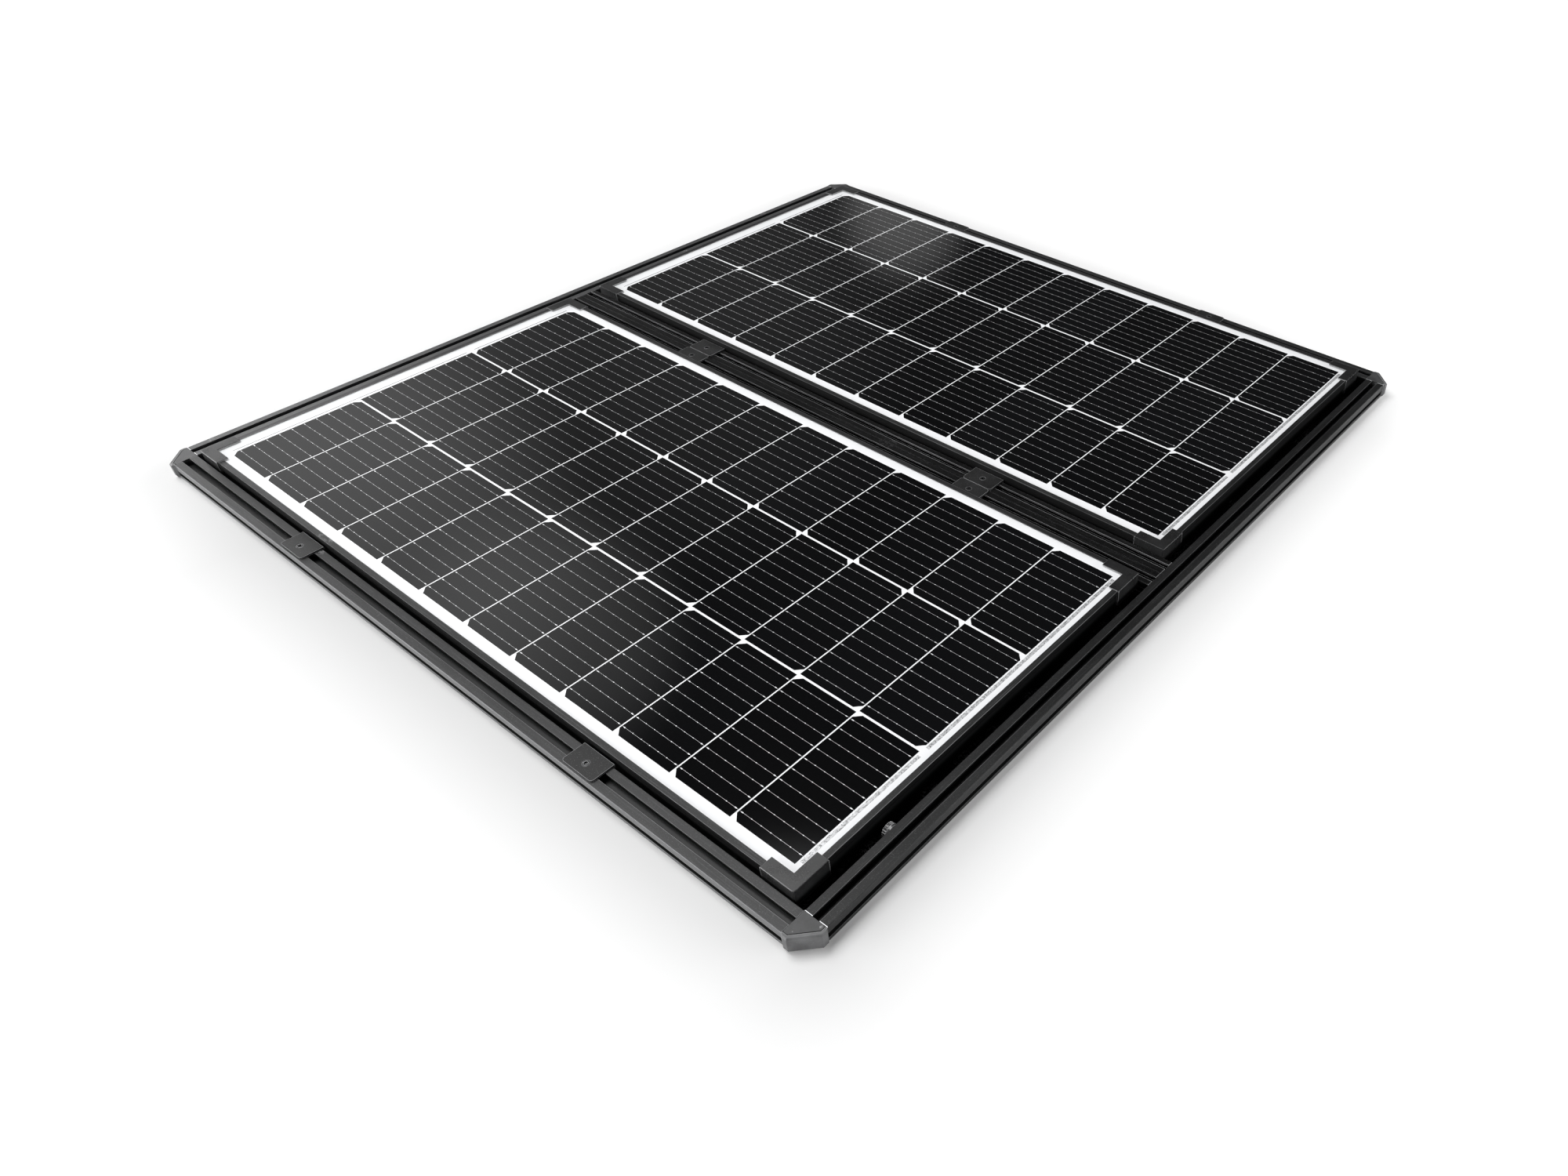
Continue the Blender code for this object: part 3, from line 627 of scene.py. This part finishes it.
# ---- studio ----
def floor():
    """White floor with a painted shadow round the panel. It glows by its distance from the panel, so that
    a soft painted shade is left round it; more painted glow lightens it beside the high-x end and beyond
    the low-x end and far side, and its grey is painted darker towards the low-x end.
    """
    shape = bmesh.new()
    bmesh.ops.create_grid(shape, x_segments=1, y_segments=1, size=FLOOR_HALF)
    mesh = bpy.data.meshes.new("floor")
    shape.to_mesh(mesh)
    shape.free()
    tree = Tree("floor_white_painted_shadow")
    tree.set(roughness=0.9, specular_ior_level=0.1, emission_color=(1, 1, 1, 1))
    across, up = tree.axis("X"), tree.axis("Y")
    half_x, half_y = PANEL_HALF
    # painted shadow: the floor's grey is darker towards the panel's low-x end
    tree.colour(tree.mix(tree.ramp(across, -half_x, half_x), *((value,) * 3 for value in FLOOR_GREY)))
    squares = []
    for place, half in ((across, half_x), (up, half_y)):
        away = tree.ramp(tree.math("ABSOLUTE", place), half, half + FLOOR_HALF, 0.0, FLOOR_HALF)
        squares.append(tree.math("MULTIPLY", away, away))
    distance = tree.math("SQRT", tree.math("ADD", *squares))
    # painted light: glow rising with distance from the panel, leaving a painted shadow beside it
    glow = tree.math("ADD", tree.ramp(distance, 0.0, FLOOR_FADE, *FLOOR_GLOW),
                     tree.ramp(distance, *FLOOR_FAR))
    # painted light: fill glow beside the high-x end, lightening the lamps' shadow there
    reach, strength = CONTACT_FILL
    fill = tree.math("ADD", tree.ramp(distance, 0.0, reach, strength, 0.0),
                     tree.ramp(up, -half_y, half_y, *SIDE_FILL))
    beside = tree.math("MULTIPLY", tree.ramp(across, *SIDE_SETS_IN[0]), tree.ramp(up, *SIDE_SETS_IN[1]))
    glow = tree.math("ADD", glow, tree.math("MULTIPLY", fill, beside))
    # painted light: glow beyond the low-x end and the far side, taking away the shadow there
    behind = tree.math("MAXIMUM", tree.ramp(across, *BACK_SETS_IN[0], 0.0, BACK_FILL),
                       tree.ramp(up, *BACK_SETS_IN[1], 0.0, BACK_FILL))
    glow = tree.math("ADD", glow, behind)
    tree.link(glow, tree.shader.inputs["Emission Strength"])
    mesh.materials.append(tree.material)
    made = bpy.data.objects.new("floor", mesh)
    bpy.context.scene.collection.objects.link(made)


def area_light(name, place, target, size, power):
    data = bpy.data.lights.new(name, "AREA")
    data.shape = "RECTANGLE"
    data.size, data.size_y = size
    data.energy = power
    made = bpy.data.objects.new(name, data)
    bpy.context.scene.collection.objects.link(made)
    made.location = place
    made.rotation_euler = (Vector(target) - Vector(place)).to_track_quat("-Z", "Y").to_euler()


def direction(azimuth, elevation):
    """Unit vector with its azimuth in degrees from -X towards +Y."""
    turn, rise = math.radians(azimuth), math.radians(elevation)
    return Vector((-math.cos(turn) * math.cos(rise), math.sin(turn) * math.cos(rise), math.sin(rise)))


def sky():
    """A dark surrounding with soft bright patches for the glass to mirror; the camera sees it white."""
    world = bpy.data.worlds.new("studio")
    bpy.context.scene.world = world
    world.use_nodes = True
    nodes, links = world.node_tree.nodes, world.node_tree.links
    way = nodes.new("ShaderNodeTexCoord").outputs["Generated"]
    total = None
    for azimuth, elevation, width, strength in SKY_PATCHES:
        near = nodes.new("ShaderNodeVectorMath")
        near.operation = "DOT_PRODUCT"
        near.inputs[1].default_value = direction(azimuth, elevation)
        links.new(way, near.inputs[0])
        ramp = nodes.new("ShaderNodeMapRange")
        ramp.interpolation_type = "SMOOTHSTEP"
        ramp.inputs["From Min"].default_value = math.cos(math.radians(width))
        ramp.inputs["From Max"].default_value = 1.0
        ramp.inputs["To Max"].default_value = strength
        links.new(near.outputs["Value"], ramp.inputs["Value"])
        add = nodes.new("ShaderNodeMath")
        add.inputs[1].default_value = SKY_BASE
        if total:
            links.new(total, add.inputs[1])
        links.new(ramp.outputs["Result"], add.inputs[0])
        total = add.outputs["Value"]
    backdrop = nodes.new("ShaderNodeMath")
    backdrop.operation = "MAXIMUM"
    links.new(total, backdrop.inputs[0])
    links.new(nodes.new("ShaderNodeLightPath").outputs["Is Camera Ray"], backdrop.inputs[1])
    nodes["Background"].inputs["Color"].default_value = (1, 1, 1, 1)
    links.new(backdrop.outputs["Value"], nodes["Background"].inputs["Strength"])


def studio():
    floor()
    sky()
    for name, azimuth, elevation, size, power in SOFTBOXES:
        area_light(name, direction(azimuth, elevation) * SOFTBOX_REACH, (0, 0, 0), size, power)


def camera():
    data = bpy.data.cameras.new("camera")
    data.lens = LENS
    data.shift_x = SHIFT_X
    data.clip_start = 0.05
    made = bpy.data.objects.new("camera", data)
    bpy.context.scene.collection.objects.link(made)
    made.location = CAMERA_PLACE
    made.rotation_euler = [math.radians(a) for a in CAMERA_TURN]
    bpy.context.scene.camera = made


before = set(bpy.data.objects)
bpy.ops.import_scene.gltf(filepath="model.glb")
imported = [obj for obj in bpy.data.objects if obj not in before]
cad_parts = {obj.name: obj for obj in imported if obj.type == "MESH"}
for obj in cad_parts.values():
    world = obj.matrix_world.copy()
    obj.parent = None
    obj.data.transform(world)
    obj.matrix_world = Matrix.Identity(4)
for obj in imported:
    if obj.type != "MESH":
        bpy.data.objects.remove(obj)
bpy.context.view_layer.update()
bpy.context.scene.view_settings.view_transform = "Standard"
camera()
LOOKS = {
    "rail_x": extrusion("rail_finish_x", "X", 0.022, 0.034, edge=0.24, dark_below=RAIL_SHADE_BELOW,
                        painted_lit_wall=PAINTED_LIT_WALL_FROM),
    # painted light and shade: the centre rail and end rails are copies of one anodised aluminium, the
    # left end rail's painted lighter and the right end rail's and centre rail's painted darker, for how
    # light falls on them
    "rail_centre": extrusion("rail_finish_centre_painted_darker", "X", 0.005, 0.009, edge=0.60, reach=1.1 * MM,
                             shine=0.1, drawn=0.8),
    "rail_left": extrusion("rail_finish_left_painted_lighter", "Y", 0.062, 0.085, edge=0.24, bare_ends=True),
    "rail_right": extrusion("rail_finish_right_painted_darker", "Y", 0.012, 0.020, edge=0.20, shine=0.3, bare_ends=True),
    "bar_x": extrusion("bar_finish_x", "X", 0.013, 0.022, edge=0.22, reach=0.8 * MM, drawn=0.6,
                       dark_below=BAR_SHADE_BELOW),
    "bar_y": extrusion("bar_finish_y", "Y", 0.012, 0.020, edge=0.24, reach=1.0 * MM, drawn=0.6,
                       dark_below=BAR_SHADE_BELOW),
    "casting": casting("casting_finish", 0.085, 0.170, 0.34),
    "insert": casting("insert_finish", 0.040, 0.085, 0.03),
    "skin": skin("skin_finish"),
    "gland": plastic("gland_finish", 0.070, 900.0, 0.22),
    "plastic": plastic("box_finish", 0.020),
    "cap": plastic("cap_finish", 0.016, 1100.0, 0.30),
    "plate": coated_plate("plate_finish"),
    "steel": screw_steel("nut_finish", 0.45),
    "screw": screw_steel("screw_finish", 0.10),
    "backsheet": backsheet("backsheet_finish_painted_glow"),
    "silicon": silicon("silicon_finish"),
    "wire": ribbon_metal("wire_finish", 0.45, 0.62),
    "pad": ribbon_metal("pad_finish", 0.70, 0.90),
    "thin_ribbon": ribbon_metal("thin_ribbon_finish", 0.25, 0.45, 0.5),
    "wide_ribbon": ribbon_metal("wide_ribbon_finish", 0.52, 0.76, 0.9),
}
dress_frame(LOOKS)
for row_name in ROWS:
    dress_module(row_name, LOOKS)
    laminate(row_name, LOOKS)
studio()
